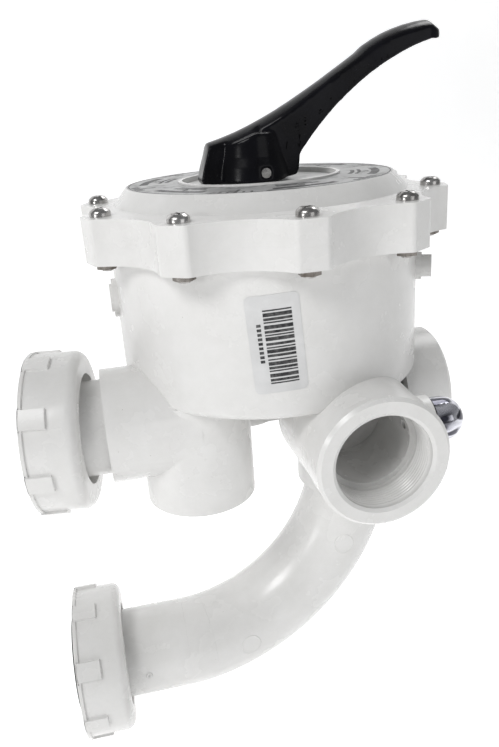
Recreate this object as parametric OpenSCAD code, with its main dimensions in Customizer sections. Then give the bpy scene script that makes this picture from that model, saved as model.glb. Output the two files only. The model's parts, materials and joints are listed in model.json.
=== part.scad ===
// Side-mount multiport filter valve: lidded body, lift-and-turn rotor, two tank unions.
// Modelled about the rotor's axis, with z = 0 at the seats of the lid screws,
// then placed so that the origin is the centre of the upper union's sealing face.

/* [Body] */
// Outer diameter of the round body
body_d = 197; // [164:1:237]
// Thickness of the body's side wall
body_wall = 6.5; // [5:0.5:8]
// Height of the body below its flange
body_h = 88.8; // [80:0.2:110]
// Thickness of the floor under the rotor
floor_t = 16.3; // [15:0.1:22]
// Radius of the rounded bottom edge
foot_r = 5; // [3:0.5:10]

/* [Flange] */
// Thickness of the lid's flange
lid_flange_t = 14; // [11:0.5:18]
// Thickness of the body's flange
body_flange_t = 12.7; // [11:0.1:20]
// Number of lid screws
screw_count = 10; // [8:1:12]
// Distance from the body's side to the screw circle
screw_offset = 8.5; // [8:0.5:11]
// Distance from the body's side to the bottom of a scallop
scallop_offset = 5; // [4:0.5:6]
// Half width of the flat on a lobe's end
lobe_half = 6.5; // [5:0.5:8]
// Corner radius of a lobe
lobe_r = 4; // [2:0.5:4.5]

/* [Lid] */
// Rise of the lid's top above the screw seats
lid_rise = 10.9; // [9:0.1:15]
// Thickness of the lid's shell
lid_t = 7; // [5:0.5:8]
// Width of the printed dial, from the raised ring to the rim
dial_w = 32.1; // [20:0.1:40]
// Thickness of the dial plate
dial_t = 0.8; // [0.5:0.1:1]
// Width of the raised ring inside the dial
ring_w = 2.6; // [2:0.1:4]
// Height of the raised ring above the dial
ring_rise = 1; // [0.5:0.1:2]
// Diameter of the screw seat cut into the lid's shoulder
seat_d = 17.6; // [14:0.1:18]

/* [Screws] */
// Diameter of the screws
screw_d = 6.35; // [5:0.05:7]
// Diameter of the screw head
head_d = 12.4; // [10:0.1:13]
// Height of the screw head
head_h = 4.6; // [3:0.1:6]
// Width of the nuts across their flats
nut_flats = 11.1; // [9:0.1:12]
// Height of the nuts
nut_h = 5.5; // [4:0.1:7]
// Depth of the pockets that keep the nuts from turning
nut_pocket = 1.9; // [1:0.1:3]

/* [Unions] */
// Outside diameter of the union pipes
pipe_d = 60.3; // [50.3:0.1:72.4]
// Wall of the union pipes
pipe_wall = 4.1; // [3:0.1:6]
// Drop of the upper union's axis below the body
union_drop = 15.5; // [14:0.5:24]
// Distance between the two unions
union_spacing = 180; // [175:1:240]
// Distance of the unions' axes in front of the rotor's axis
union_y = 32; // [24:1:38]
// Distance from the body's side to the unions' sealing faces
union_reach = 61.5; // [55:0.5:80]
// How far the sealing flange stands out from the pipe
flange_lip = 5.85; // [5:0.05:8]
// Thickness of the sealing flange
flange_t = 8; // [6:0.5:12]
// Length of a union nut
nut_len = 32; // [26:1:40]
// Wall of a union nut outside its thread
nut_wall = 6.4; // [5:0.1:9]
// Gap between a nut's thread and the sealing flange
nut_thread_gap = 7.5; // [6:0.5:10]
// Gap between a nut's hole and the pipe
nut_hole_gap = 4.85; // [4:0.05:5.5]
// How far the nuts are pushed back behind the sealing faces
nut_back = 2; // [1:0.5:6]
// How far the loose upper nut hangs askew, in degrees
nut_yaw = 8; // [0:1:10]
// Number of grip lugs on a nut
lug_count = 8; // [6:1:10]
// Width of a grip lug
lug_w = 12; // [8:0.5:20]
// Height of a grip lug
lug_h = 2; // [1:0.1:3]

/* [Elbow] */
// Bend radius of the lower pipe's centre line
bend_r = 125; // [110:1:140]
// Radius on which the pipe turns sideways towards the column
side_r = 80; // [60:1:110]
// Depth of the pipe sockets
socket_depth = 26; // [20:1:30]
// Wall of the pipe sockets
socket_wall = 6.15; // [5:0.05:8]

/* [Ports] */
// Diameter of the threaded ports at the thread's crest
port_d = 58.4; // [50:0.1:60]
// Wall of the barrel around a threaded port
port_wall = 9.6; // [7:0.1:12]
// Extra radius of the collar at a port's mouth
collar_rise = 1.2; // [1:0.1:3]
// How much wider a barrel is where it leaves the body
barrel_draft = 2.6; // [0:0.1:4]
// Length of that collar
collar_len = 20; // [12:1:24]
// Length of the thread in the front and back ports
thread_len = 26; // [20:1:32]
// Drop of the ports' axes below the body
port_drop = 24.5; // [23:0.1:34]
// Front port: distance of its axis to the right of the rotor's axis
front_x = 36; // [30:1:42]
// Front port: distance of its mouth from the body's side
front_reach = 23.5; // [20:0.5:40]
// Right port: distance of its axis in front of the rotor's axis
right_y = 17; // [12:1:22]
// Right port: distance of its mouth from the body's side
right_reach = 12; // [10:0.5:30]
// Back port: distance of its axis to the left of the rotor's axis
back_x = 8; // [0:1:16]

/* [Sight glass] */
// Outer diameter of the sight glass
glass_d = 27.5; // [20:0.5:29]
// Wall of the sight glass
glass_wall = 2.2; // [1.5:0.1:3]
// Length of the straight part of the glass
glass_straight = 7.6; // [4:0.1:12]

/* [Rotor] */
// Diameter of the rotor's stem
stem_d = 25; // [22:0.5:27]
// Gap between the rotor's rim and the body's wall
rotor_gap = 4; // [3:0.5:6]
// Thickness of the rotor's disc
rotor_t = 14; // [11:0.5:18]
// Number of water ways in the floor
way_count = 6; // [6:1:6]
// Width of the ribs between the water ways
way_rib = 7; // [6:0.5:9]
// Thickness of the spider gasket
gasket_t = 4; // [3:0.5:5]
// Wire diameter of the rotor's spring
wire_d = 4.2; // [3:0.1:5]

/* [Handle] */
// Height of the handle's pivot pin above its own underside
pin_rise = 5.5; // [5:0.1:7]
// Diameter of the pivot pin
pin_d = 6; // [5:0.1:6.5]
// Distance from the pivot pin to the tip
handle_reach = 119; // [100:1:145]
// Height of the tip above the pivot pin
handle_rise = 81.5; // [70:0.5:99]
// Radius of the handle's hub at its foot
hub_r = 24.5; // [21:0.5:26]
// Width of the tail block behind the hub
tail_w = 20; // [16:1:26]
// Width of the lever at its tip
tip_w = 28; // [22:1:34]
// Width of the lever at its neck
neck_w = 22; // [18:1:28]
// Wall of the hollow lever
handle_wall = 3; // [2:0.25:4]

/* [Hidden] */
$fn = 72;
eps = 0.01;
run_gap = 0.05;   // radial clearance of a turning fit
glue_gap = 0.1;   // radial clearance of a pipe in its socket
slide_gap = 0.3;  // clearance between faces that pass one another
scallop_bite = 0.05; // how far a scallop cuts into the lobe corners beside it

// heights, from the lid's screw seats down
seam_z = -lid_flange_t;
flange_z = seam_z - body_flange_t;
body_z = flange_z - body_h;
floor_z = body_z + floor_t;
port_z = body_z - port_drop;
union_z = body_z - union_drop;
lower_z = union_z - union_spacing;

// radii of the body, the flange and the lid
body_r = body_d / 2;
cavity_r = body_r - body_wall;
screw_pitch_r = body_r + screw_offset;
root_r = body_r + scallop_offset;
lobe_reach = screw_pitch_r + 10;
lid_top_r = body_r - 14.3;
dial_r = lid_top_r - 0.7;
ring_r = dial_r - dial_w;
seal_z = lid_rise - dial_t;      // floor of the dial's recess
hub_z = lid_rise - 3.3;          // floor inside the raised ring
oring_r = 2;                     // half the thickness of the lid's O-ring
spigot_r = cavity_r - slide_gap;
spigot_drop = 10;
screw_hole_r = screw_d / 2 + 0.35;
nut_corner_r = nut_flats / 2 / cos(30);
nut_top_z = flange_z + nut_pocket;

// rotor and its seals
stem_r = stem_d / 2;
boss_r = stem_r + 9.5;
boss_z = -16;                    // underside of the lid's stem boss
washer_t = 1.2;
stem_ring_r = 1.6;               // half the thickness of a stem O-ring
stem_ring_zs = [-11, -4];
rotor_r = cavity_r - rotor_gap;
rotor_hub_r = boss_r + 3.4;
gasket_proud = 1;
gasket_z = floor_z + gasket_proud;
disc_top_z = gasket_z + rotor_t;
hub_top_z = disc_top_z + 17.5;
spring_r = stem_r + 6.2;
spring_turns = 5;
spring_low_z = hub_top_z + washer_t;
spring_high_z = boss_z - washer_t;

// water ways in the floor
way_in_r = 24;
way_out_r = cavity_r - 10;
way_depth = 5;
way_turn = 38;                   // angle of the first water way's middle
way_step = 360 / way_count;
way_floor_z = floor_z - way_depth;
way_edge = 0.6;                  // ledge between a riser and the edge of its water way

// unions
pipe_r = pipe_d / 2;
bore_r = pipe_r - pipe_wall;
socket_r = pipe_r + glue_gap;
socket_out_r = socket_r + socket_wall;
face_x = -(body_r + union_reach);
lip_r = pipe_r + flange_lip;
nut_thread_r = lip_r + nut_thread_gap;
nut_hole_r = pipe_r + nut_hole_gap;
nut_r = nut_thread_r + nut_wall;
nut_back_wall = 7;
nut_edge_r = 6;
face_ring_r = 1.8;
face_ring_pitch_r = pipe_r + 2.85;
face_groove_depth = 2.6;

// left chamber, with the upper union's socket
chamber_r = 36;
chamber_wall = 6;
chamber_turn = 208.3;
chamber_pitch = body_r - 30.94;
chamber_x = chamber_pitch * cos(chamber_turn);
chamber_y = -union_y;
chamber_z = union_z - 56;
upper_socket_x = -(body_r + 17.5);
chamber_way_r = 21;
chamber_way_pitch = way_out_r - way_edge - chamber_way_r;

// column that takes the elbow
column_x = body_r - 44.2;
column_y = -8.6;
elbow_z = lower_z + bend_r;
pipe_seam = 0.04;                // hairline between two stretches of the bent pipe
column_z = elbow_z - 1.7;         // where the pipe's bend meets its socket
skirt_z = column_z - 19;         // mouth of the skirt below the socket
skirt_r = socket_out_r + 2.2;
skirt_flare = 3.2;
column_seat_z = column_z + socket_depth;
column_top_z = port_z - 10;
duct_r = 19;
duct_pitch = way_in_r + duct_r + 1.4;
duct_turn = 35.8;
duct_x = duct_pitch * cos(duct_turn);
duct_y = duct_pitch * sin(duct_turn);
duct_wall = 5;

// threaded ports
port_r = port_d / 2;
barrel_r = port_r + port_wall;
collar_r = barrel_r + collar_rise;
port_way_r = port_r - 3.2;
front_mouth = body_r + front_reach;
right_mouth = body_r + right_reach;
front_end = socket_r - column_y + 11;
front_way_r = 16;
front_way_turn = -70.5;
right_end = column_x + socket_r + 4.4;
right_way_r = 10;
right_way_turn = -10.6;
back_way_r = 18;
back_way_turn = 97.4;

// sight glass on the front port's barrel
glass_r = glass_d / 2;
glass_z = port_z + 5.8;
glass_y = -(front_mouth - 34);
glass_seat_x = front_x + barrel_r + 3.2;
gasket_seal_t = 1.5;
glass_shank_r = glass_r - 3;
glass_shank_len = 7;

// plugs in the body's side
gauge_z = -48;
drain_z = -56.5;
plug_shank_r = 5.4;
plug_shank_len = 11;
gauge_turn = -25.8;
gauge_boss_reach = body_r + 3.5;
drain_turn = 180;
drain_boss_reach = body_r + 2.6;
drain_boss_r = 12.4;
gauge_boss_r = 8.6;

// handle and pin
handle_z = hub_z + washer_t + slide_gap;
pin_z = handle_z + pin_rise;
pin_r = pin_d / 2;
tongue_half_x = 0.72 * stem_r;
tongue_half_y = 0.64 * stem_r;
tongue_drop = 9.5;               // from the pin down to the round stem's top
tongue_z = pin_z - tongue_drop;
press_angle = 25;                // travel of the lever
hub_back = 4;                    // hub's axis behind the pin
tail_reach = 38;                 // tail's end behind the pin
slot_half = tongue_half_y + slide_gap;
// section of the stem, tilted by the press, at the handle's underside
relief_x = pin_rise * tan(press_angle);
relief_r = (stem_r + 0.5) / cos(press_angle);
slot_front = relief_x + relief_r + slide_gap;
// height that the stem's top edge reaches beside the slot when the handle is pressed
relief_z = sqrt(stem_r * stem_r - slot_half * slot_half) * sin(press_angle)
    - tongue_drop * cos(press_angle) + slide_gap;

// label on the body's side
label_w = 30;
label_h = 56.5;
label_t = 0.25;
label_corner = 3;
label_turn = -100.1;
label_tilt = 3.6;
label_z = -69.2;

body_white = [0.93, 0.93, 0.91];
seal_black = [0.08, 0.08, 0.08];
steel = [0.72, 0.72, 0.70];

function polar(r, a) = [r * cos(a), r * sin(a)];
// point at share t along the curve with the four control points p
function bezier(p, t) = pow(1 - t, 3) * p[0] + 3 * t * pow(1 - t, 2) * p[1]
    + 3 * t * t * (1 - t) * p[2] + pow(t, 3) * p[3];
function curve(p, steps) = [for (i = [0:steps]) bezier(p, i / steps)];

module place() {
    translate([-face_x, union_y, -union_z]) children();
}

// a child drawn along +Z, laid along -X and moved to the union at height z
module at_union(z) {
    translate([face_x, -union_y, z]) rotate([0, 90, 0]) children();
}

module round_screws() {
    for (i = [0:screw_count - 1])
        rotate([0, 0, -90 + i * 360 / screw_count])
            translate([screw_pitch_r, 0, 0]) children();
}

// ring with a round section
module oring(pitch_r, half) {
    rotate_extrude() translate([pitch_r, 0]) circle(r = half, $fn = 24);
}

module tube(r_out, r_in, h) {
    difference() {
        cylinder(r = r_out, h = h);
        translate([0, 0, -eps]) cylinder(r = r_in, h = h + 2 * eps);
    }
}

// scalloped flange outline: each scallop runs smoothly into the lobe corners beside it
module flange_outline() {
    corner_x = lobe_reach - lobe_r;
    corner_r = norm([corner_x, lobe_half]);
    half_step = 180 / screw_count - atan(lobe_half / corner_x);
    scallop_r = (root_r * root_r + corner_r * corner_r
        - 2 * corner_r * root_r * cos(half_step) - lobe_r * lobe_r)
        / (2 * (corner_r * cos(half_step) + lobe_r - root_r));
    scallop_pitch = scallop_r + root_r;
    centre = polar(scallop_pitch, 180 / screw_count);
    away = centre - [corner_x, lobe_half];
    touch = [corner_x, lobe_half] + away * lobe_r / norm(away);
    difference() {
        circle(r = norm(touch) - 3 * scallop_bite, $fn = 180);
        for (i = [0:screw_count - 1])
            rotate(-90 + (i + 0.5) * 360 / screw_count)
                translate([scallop_pitch, 0]) circle(r = scallop_r + scallop_bite);
    }
    for (i = [0:screw_count - 1])
        rotate(-90 + i * 360 / screw_count) {
            translate([root_r - 5, -lobe_half])
                square([lobe_reach - root_r + 5, 2 * lobe_half]);
            for (side = [-1, 1])
                translate([corner_x, side * lobe_half]) circle(r = lobe_r, $fn = 24);
        }
}

// outline of the water way whose middle lies along +X, with its walls moved out by grow
module way_outline(grow) {
    half = way_step / 2;
    intersection() {
        difference() {
            circle(r = way_out_r + grow);
            circle(r = way_in_r - grow);
        }
        polygon([polar(0, 0), polar(2 * way_out_r, -half), polar(2 * way_out_r, half)]);
        translate([(way_rib / 2 - grow) / sin(half), 0])
            polygon([polar(0, 0), polar(2 * way_out_r, -half), polar(2 * way_out_r, half)]);
    }
}

module barrel(mouth, end) {
    translate([end - 10, 0, 0]) rotate([0, 90, 0])
        cylinder(r1 = barrel_r + barrel_draft, r2 = barrel_r, h = mouth - end + 10 - 2);
    translate([mouth - collar_len, 0, 0]) rotate([0, 90, 0])
        cylinder(r = collar_r, h = collar_len - 2);
    translate([mouth - 2, 0, 0]) rotate([0, 90, 0])
        cylinder(r1 = collar_r, r2 = collar_r - 2, h = 2);
}

module port_bore(mouth, end, depth) {
    translate([mouth - depth, 0, 0]) rotate([0, 90, 0]) cylinder(r = port_r, h = depth + 1);
    translate([mouth - 1.5, 0, 0]) rotate([0, 90, 0])
        cylinder(r1 = port_r, r2 = port_r + 2, h = 1.5 + eps);
    if (mouth - depth > end)
        translate([end, 0, 0]) rotate([0, 90, 0])
            cylinder(r = port_way_r, h = mouth - depth - end + 1);
}

module body_shell() {
    rotate_extrude($fn = 180) {
        translate([0, body_z + foot_r]) square([body_r, seam_z - body_z - foot_r]);
        translate([0, body_z]) square([body_r - foot_r, foot_r]);
        translate([body_r - foot_r, body_z + foot_r]) circle(r = foot_r);
    }
    translate([0, 0, flange_z]) linear_extrude(body_flange_t) flange_outline();
}

module manifold() {
    translate([chamber_x, chamber_y, chamber_z]) cylinder(r = chamber_r, h = body_z + 2 - chamber_z);
    translate([upper_socket_x, chamber_y, union_z]) rotate([0, 90, 0])
        cylinder(r = socket_out_r, h = chamber_x - upper_socket_x);
    translate([column_x, column_y, skirt_z])
        cylinder(r = socket_out_r, h = floor_z - skirt_z);
    translate([column_x, column_y, skirt_z]) cylinder(r = skirt_r, h = column_z - skirt_z);
    translate([duct_x, duct_y, column_seat_z])
        cylinder(r = duct_r + duct_wall, h = floor_z - column_seat_z);
    translate([(column_x + duct_x) / 2, (column_y + duct_y) / 2, column_seat_z])
        cylinder(r = duct_r + duct_wall + 4, h = floor_z - column_seat_z);
    translate([front_x, 0, port_z]) rotate([0, 0, -90]) barrel(front_mouth, front_end);
    translate([0, -right_y, port_z]) barrel(right_mouth, right_end);
    translate([-back_x, 0, port_z]) rotate([0, 0, 90]) barrel(front_mouth, front_end);
    // boss for the sight glass
    translate([front_x, glass_y, glass_z]) rotate([0, 90, 0])
        cylinder(r = glass_r + 2.5, h = glass_seat_x - gasket_seal_t - front_x);
    // web between the chamber and the column
    translate([chamber_x, -5, port_z - 18])
        cube([column_x - chamber_x, 10, floor_z - port_z + 18]);
}

module water_ways() {
    for (i = [0:way_count - 1])
        rotate([0, 0, way_turn + i * way_step])
            translate([0, 0, way_floor_z]) linear_extrude(way_depth + 1) way_outline(0);
    // upper union, left chamber and its riser
    translate([upper_socket_x - 1, chamber_y, union_z]) rotate([0, 90, 0])
        cylinder(r = socket_r, h = socket_depth + 1);
    translate([upper_socket_x, chamber_y, union_z]) rotate([0, 90, 0])
        cylinder(r = bore_r, h = chamber_x - upper_socket_x);
    translate([chamber_x, chamber_y, chamber_z + chamber_wall])
        cylinder(r = chamber_r - chamber_wall, h = body_z - chamber_z - 2 * chamber_wall);
    rotate([0, 0, chamber_turn]) translate([chamber_way_pitch, 0, union_z])
        cylinder(r = chamber_way_r, h = way_floor_z - union_z + 1);
    // elbow socket, column and its riser
    translate([column_x, column_y, column_z - eps])
        cylinder(r = socket_r, h = socket_depth + eps);
    translate([column_x, column_y, skirt_z - eps])
        cylinder(r1 = socket_r + skirt_flare, r2 = socket_r, h = column_z - skirt_z + eps);
    translate([column_x, column_y, column_z]) cylinder(r = bore_r, h = column_top_z - column_z);
    translate([(column_x + duct_x) / 2, (column_y + duct_y) / 2, column_seat_z + 1])
        cylinder(r = duct_r, h = way_floor_z - column_seat_z - 6);
    translate([duct_x, duct_y, column_seat_z + 1])
        cylinder(r = duct_r, h = way_floor_z - column_seat_z);
    // front port
    translate([front_x, 0, port_z]) rotate([0, 0, -90])
        port_bore(front_mouth, front_end, thread_len);
    rotate([0, 0, front_way_turn]) translate([way_out_r - way_edge - front_way_r, 0, port_z])
        cylinder(r = front_way_r, h = way_floor_z - port_z + 1);
    // right port
    translate([0, -right_y, port_z]) port_bore(right_mouth, right_end, right_mouth - right_end);
    rotate([0, 0, right_way_turn]) translate([way_out_r - way_edge - right_way_r, 0, port_z + 6])
        cylinder(r = right_way_r, h = way_floor_z - port_z);
    translate([way_out_r - way_edge - right_way_r, -right_y, port_z + 6]) rotate([0, 90, 0])
        cylinder(r = right_way_r + 1, h = right_end - way_out_r + way_edge + right_way_r + 1);
    // back port
    translate([-back_x, 0, port_z]) rotate([0, 0, 90])
        port_bore(front_mouth, front_end, thread_len);
    rotate([0, 0, back_way_turn]) translate([way_out_r - way_edge - back_way_r, 0, port_z])
        cylinder(r = back_way_r, h = way_floor_z - port_z + 1);
}

module valve_body() {
    color(body_white) place() difference() {
        union() {
            body_shell();
            manifold();
            rotate([0, 0, gauge_turn]) translate([cavity_r, 0, gauge_z]) rotate([0, 90, 0])
                cylinder(r = gauge_boss_r, h = gauge_boss_reach - cavity_r);
            rotate([0, 0, drain_turn]) translate([cavity_r, 0, drain_z]) rotate([0, 90, 0])
                cylinder(r = drain_boss_r, h = drain_boss_reach - cavity_r);
        }
        translate([0, 0, floor_z]) cylinder(r = cavity_r, h = seam_z - floor_z + 1, $fn = 180);
        // counterbore for the lid's O-ring
        translate([0, 0, seam_z - 2 * oring_r])
            cylinder(r = cavity_r + 2 * oring_r + slide_gap, h = 2 * oring_r + 1);
        round_screws() translate([0, 0, flange_z - 1])
            cylinder(r = screw_hole_r, h = body_flange_t + 2, $fn = 32);
        round_screws() translate([0, 0, flange_z - 1])
            cylinder(r = nut_corner_r + 0.15, h = nut_pocket + 1, $fn = 6);
        water_ways();
        translate([0, 0, floor_z]) spider(0.15);
        // threaded holes for the sight glass and the plugs
        translate([front_x, glass_y, glass_z]) rotate([0, 90, 0])
            cylinder(r = 3, h = glass_seat_x);
        translate([glass_seat_x - glass_shank_len - 1, glass_y, glass_z]) rotate([0, 90, 0])
            cylinder(r = glass_shank_r, h = glass_shank_len + 1);
        rotate([0, 0, gauge_turn]) translate([cavity_r - 3, 0, gauge_z]) rotate([0, 90, 0])
            cylinder(r = plug_shank_r, h = 20);
        rotate([0, 0, drain_turn]) translate([cavity_r - 3, 0, drain_z]) rotate([0, 90, 0])
            cylinder(r = plug_shank_r, h = 20);
    }
}

module lid() {
    foot = 1.2;
    shoulder_r = body_r - 5.5;
    color(body_white) place() difference() {
        union() {
            translate([0, 0, seam_z]) linear_extrude(lid_flange_t) flange_outline();
            // shoulder: a steep cone on a shallow foot
            cylinder(r1 = body_r, r2 = shoulder_r, h = foot, $fn = 180);
            translate([0, 0, foot])
                cylinder(r1 = shoulder_r, r2 = lid_top_r + 0.8, h = lid_rise - foot - 0.8, $fn = 180);
            translate([0, 0, lid_rise - 0.8])
                cylinder(r1 = lid_top_r + 0.8, r2 = lid_top_r, h = 0.8, $fn = 180);
            translate([0, 0, hub_z]) cylinder(r = ring_r, h = lid_rise - hub_z + ring_rise, $fn = 120);
            // spigot that centres the lid in the body
            translate([0, 0, seam_z - spigot_drop]) tube(spigot_r, spigot_r - 5, spigot_drop + 1);
        }
        // hollow underside, round the stem's boss
        difference() {
            translate([0, 0, seam_z - 1])
                cylinder(r = spigot_r - 5, h = seal_z - lid_t - seam_z + 1, $fn = 120);
            translate([0, 0, boss_z]) cylinder(r = boss_r, h = lid_rise - boss_z);
            for (i = [0:7])
                rotate([0, 0, i * 45 + 22.5]) translate([boss_r - 1, -2, seam_z])
                    cube([spigot_r - boss_r, 4, lid_rise - seam_z]);
        }
        // recess of the dial and of the handle's washer
        translate([0, 0, seal_z]) tube(dial_r + 0.1, ring_r - 0.1, 5);
        translate([0, 0, hub_z]) cylinder(r = ring_r - ring_w, h = 10);
        // stem bore and O-ring grooves
        translate([0, 0, boss_z - 1]) cylinder(r = stem_r + run_gap, h = lid_rise - boss_z + 2);
        for (z = stem_ring_zs)
            translate([0, 0, z - stem_ring_r - 0.1])
                cylinder(r = stem_r + 2 * stem_ring_r, h = 2 * stem_ring_r + 0.2);
        round_screws() {
            translate([0, 0, seam_z - 1])
                cylinder(r = screw_hole_r, h = lid_flange_t + 2, $fn = 32);
            cylinder(r = seat_d / 2, h = lid_rise + 5, $fn = 32);
        }
    }
}

module lid_oring() {
    color(seal_black) place()
        translate([0, 0, seam_z - oring_r]) oring(cavity_r + oring_r + 0.1, oring_r);
}

module dial_plate() {
    color([0.62, 0.62, 0.62]) place()
        translate([0, 0, seal_z]) tube(dial_r, ring_r, dial_t);
}

module lid_screws() {
    socket = 2.2;
    color(steel) place() round_screws() {
        translate([0, 0, nut_top_z - nut_h - 1.2])
            cylinder(r = screw_d / 2, h = nut_h + 1.2 - nut_top_z + 1, $fn = 24);
        difference() {
            union() {
                cylinder(r = head_d / 2, h = head_h * 0.5, $fn = 32);
                translate([0, 0, head_h * 0.5])
                    cylinder(r1 = head_d / 2, r2 = head_d / 2 - 0.7, h = head_h * 0.25, $fn = 32);
                translate([0, 0, head_h * 0.75])
                    cylinder(r1 = head_d / 2 - 0.7, r2 = head_d / 2 - 2.2, h = head_h * 0.25, $fn = 32);
            }
            for (turn = [45, 135])
                rotate([0, 0, turn])
                    translate([-head_d * 0.3, -0.7, head_h - socket])
                        cube([head_d * 0.6, 1.4, socket + 1]);
        }
    }
}

module lid_nuts() {
    color(steel) place() round_screws() translate([0, 0, nut_top_z - nut_h]) difference() {
        cylinder(r = nut_corner_r, h = nut_h, $fn = 6);
        translate([0, 0, -1]) cylinder(r = screw_d / 2 + 0.02, h = nut_h + 2, $fn = 24);
    }
}

// wheel-shaped gasket: rim, hub ring and one spoke on each rib of the floor
module spider(grow) {
    spoke = way_rib - 3 + 2 * grow;
    rim_r = way_out_r + 2.5;
    translate([0, 0, gasket_proud - gasket_t]) {
        tube(rim_r + 2.5 + grow, rim_r - 1.5 - grow, gasket_t);
        tube(way_in_r - 1.5 + grow, way_in_r - 5.5 - grow, gasket_t);
        for (i = [0:way_count - 1])
            rotate([0, 0, way_turn + (i + 0.5) * way_step])
                translate([way_in_r - 3, -spoke / 2, 0])
                    cube([rim_r - way_in_r + 3, spoke, gasket_t]);
    }
}

module spider_gasket() {
    color(seal_black) place() translate([0, 0, floor_z]) spider(0);
}

module rotor() {
    hollow = rotor_t - 5;
    color([0.85, 0.85, 0.82]) place() difference() {
        union() {
            translate([0, 0, gasket_z]) cylinder(r = rotor_r, h = rotor_t, $fn = 120);
            translate([0, 0, disc_top_z]) cylinder(r = rotor_hub_r, h = hub_top_z - disc_top_z);
            for (i = [0:5])
                rotate([0, 0, way_turn + i * 60]) translate([boss_r, -2, disc_top_z - 1])
                    cube([rotor_r - boss_r - 6, 4, 7]);
            translate([0, 0, disc_top_z]) cylinder(r = stem_r, h = tongue_z - disc_top_z);
            translate([-tongue_half_x, -tongue_half_y, tongue_z - 1])
                cube([2 * tongue_half_x, 2 * tongue_half_y, pin_z - tongue_z + 1]);
            translate([0, tongue_half_y, pin_z]) rotate([90, 0, 0])
                cylinder(r = tongue_half_x, h = 2 * tongue_half_y);
        }
        // crossover pocket that joins two neighbouring water ways
        translate([0, 0, gasket_z - 1]) rotate([0, 0, way_turn]) {
            linear_extrude(hollow + 1) way_outline(-1);
            rotate([0, 0, way_step]) linear_extrude(hollow + 1) way_outline(-1);
            rotate([0, 0, way_step / 2]) translate([way_in_r + 8, -way_rib, 0])
                cube([way_out_r - way_in_r - 16, 2 * way_rib, hollow + 1]);
        }
        // window that lets the pump's water down from above the disc
        translate([0, 0, gasket_z - 1]) rotate([0, 0, way_turn + 3 * way_step])
            linear_extrude(rotor_t + 2) way_outline(-2);
        translate([0, tongue_half_y + 1, pin_z]) rotate([90, 0, 0])
            cylinder(r = pin_r, h = 2 * tongue_half_y + 2);
    }
}

// coil spring: a round wire swept round the stem, its end turns closed
module rotor_spring() {
    sides = 10;
    per_turn = 24;
    steps = spring_turns * per_turn;
    wire_r = wire_d / 2;
    low = spring_low_z + wire_r;
    high = spring_high_z - wire_r;
    // share of the height reached after share s of the wire
    function climb(s) = s * s * (3 - 2 * s);
    function wire_at(i) = let (s = i / steps)
        [spring_r * cos(i * 360 / per_turn), spring_r * sin(i * 360 / per_turn),
         low + (high - low) * climb(s)];
    points = [for (i = [0:steps], k = [0:sides - 1])
        let (c = wire_at(i), a = i * 360 / per_turn, b = k * 360 / sides)
        c + wire_r * [cos(b) * cos(a), cos(b) * sin(a), sin(b)]];
    walls = [for (i = [0:steps - 1], k = [0:sides - 1])
        let (n = (k + 1) % sides)
        [i * sides + k, i * sides + n, (i + 1) * sides + n, (i + 1) * sides + k]];
    first = [for (k = [sides - 1:-1:0]) k];
    last = [for (k = [0:sides - 1]) steps * sides + k];
    color(steel) place()
        polyhedron(points = points, faces = concat(walls, [first, last]), convexity = 8);
}

module spring_washer_top() {
    color([0.9, 0.9, 0.85]) place()
        translate([0, 0, boss_z - washer_t]) tube(boss_r, stem_r + 0.5, washer_t);
}

module spring_washer_bottom() {
    color([0.9, 0.9, 0.85]) place()
        translate([0, 0, hub_top_z]) tube(boss_r + 2, stem_r + 0.1, washer_t);
}

module stem_orings() {
    color(seal_black) place()
        for (z = stem_ring_zs)
            translate([0, 0, z]) oring(stem_r + stem_ring_r, stem_ring_r);
}

module handle_washer() {
    color([0.8, 0.8, 0.8]) place()
        translate([0, 0, hub_z]) tube(ring_r - ring_w - 0.5, stem_r + 0.4, washer_t);
}

// side view of the handle, x along the lever and y up, both from the pivot pin
module handle_side(shrink) {
    foot = -pin_rise;
    top_x = handle_reach * 0.55;
    tip_low = [handle_reach - 1, handle_rise - 10.5];
    top = curve([[-32, 19], [-2, 25.5], [27, 41.5], [top_x, handle_rise - 16.5]], 10);
    grip = curve([[top_x + 5, handle_rise - 12.5], [top_x + 18, handle_rise - 5],
        [handle_reach - 24, handle_rise - 1.5], [handle_reach - 8, handle_rise]], 6);
    under = curve([tip_low, [handle_reach * 0.74, handle_rise - 15],
        [handle_reach * 0.45, handle_rise - 36], [24.5, 9]], 14);
    down = [0, -shrink];
    if (shrink == 0)
        polygon(concat(top, grip,
            [[handle_reach - 1, handle_rise - 5], [handle_reach, handle_rise - 8]], under,
            [[23.5, 0], [22, foot + 2.4], [8, foot], [1 - tail_reach, foot], [-tail_reach, foot + 3],
                [2 - tail_reach, 5]]));
    else
        polygon(concat([for (p = top) p + down], [for (p = grip) p + 1.3 * down],
            [[handle_reach - 1.5 * shrink, handle_rise - 5 - shrink],
             [handle_reach - 1.5 * shrink, handle_rise - 40], [60, -20], [60, handle_rise - 60],
             [23.5 - shrink, 3], [23.5 - shrink, foot - 8], [-33, foot - 8], [-31, 13]]));
}

// plan of the lever, from the hub to its rounded tip
module lever_plan(shrink) {
    tip = tip_w / 2;
    neck = neck_w / 2;
    side = curve([[0, 16], [28, neck + 2], [35, neck - 1], [65, neck + 0.6]], 8);
    flare = curve([[70, neck + 0.8], [90, tip - 0.5], [98, tip], [handle_reach - 10, tip - 1]], 5);
    corner = curve([[handle_reach - 9, tip - 1.1], [handle_reach - 2, tip - 2],
        [handle_reach + 0.5, tip - 7], [handle_reach + 1, 0]], 5);
    half = concat(side, flare, corner);
    count = len(half);
    outline = [for (p = half) [p[0] > 70 ? p[0] - shrink : p[0], max(0, p[1] - shrink)]];
    polygon(concat(outline, [for (i = [count - 1:-1:0]) [outline[i][0], -outline[i][1]]]));
}

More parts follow.
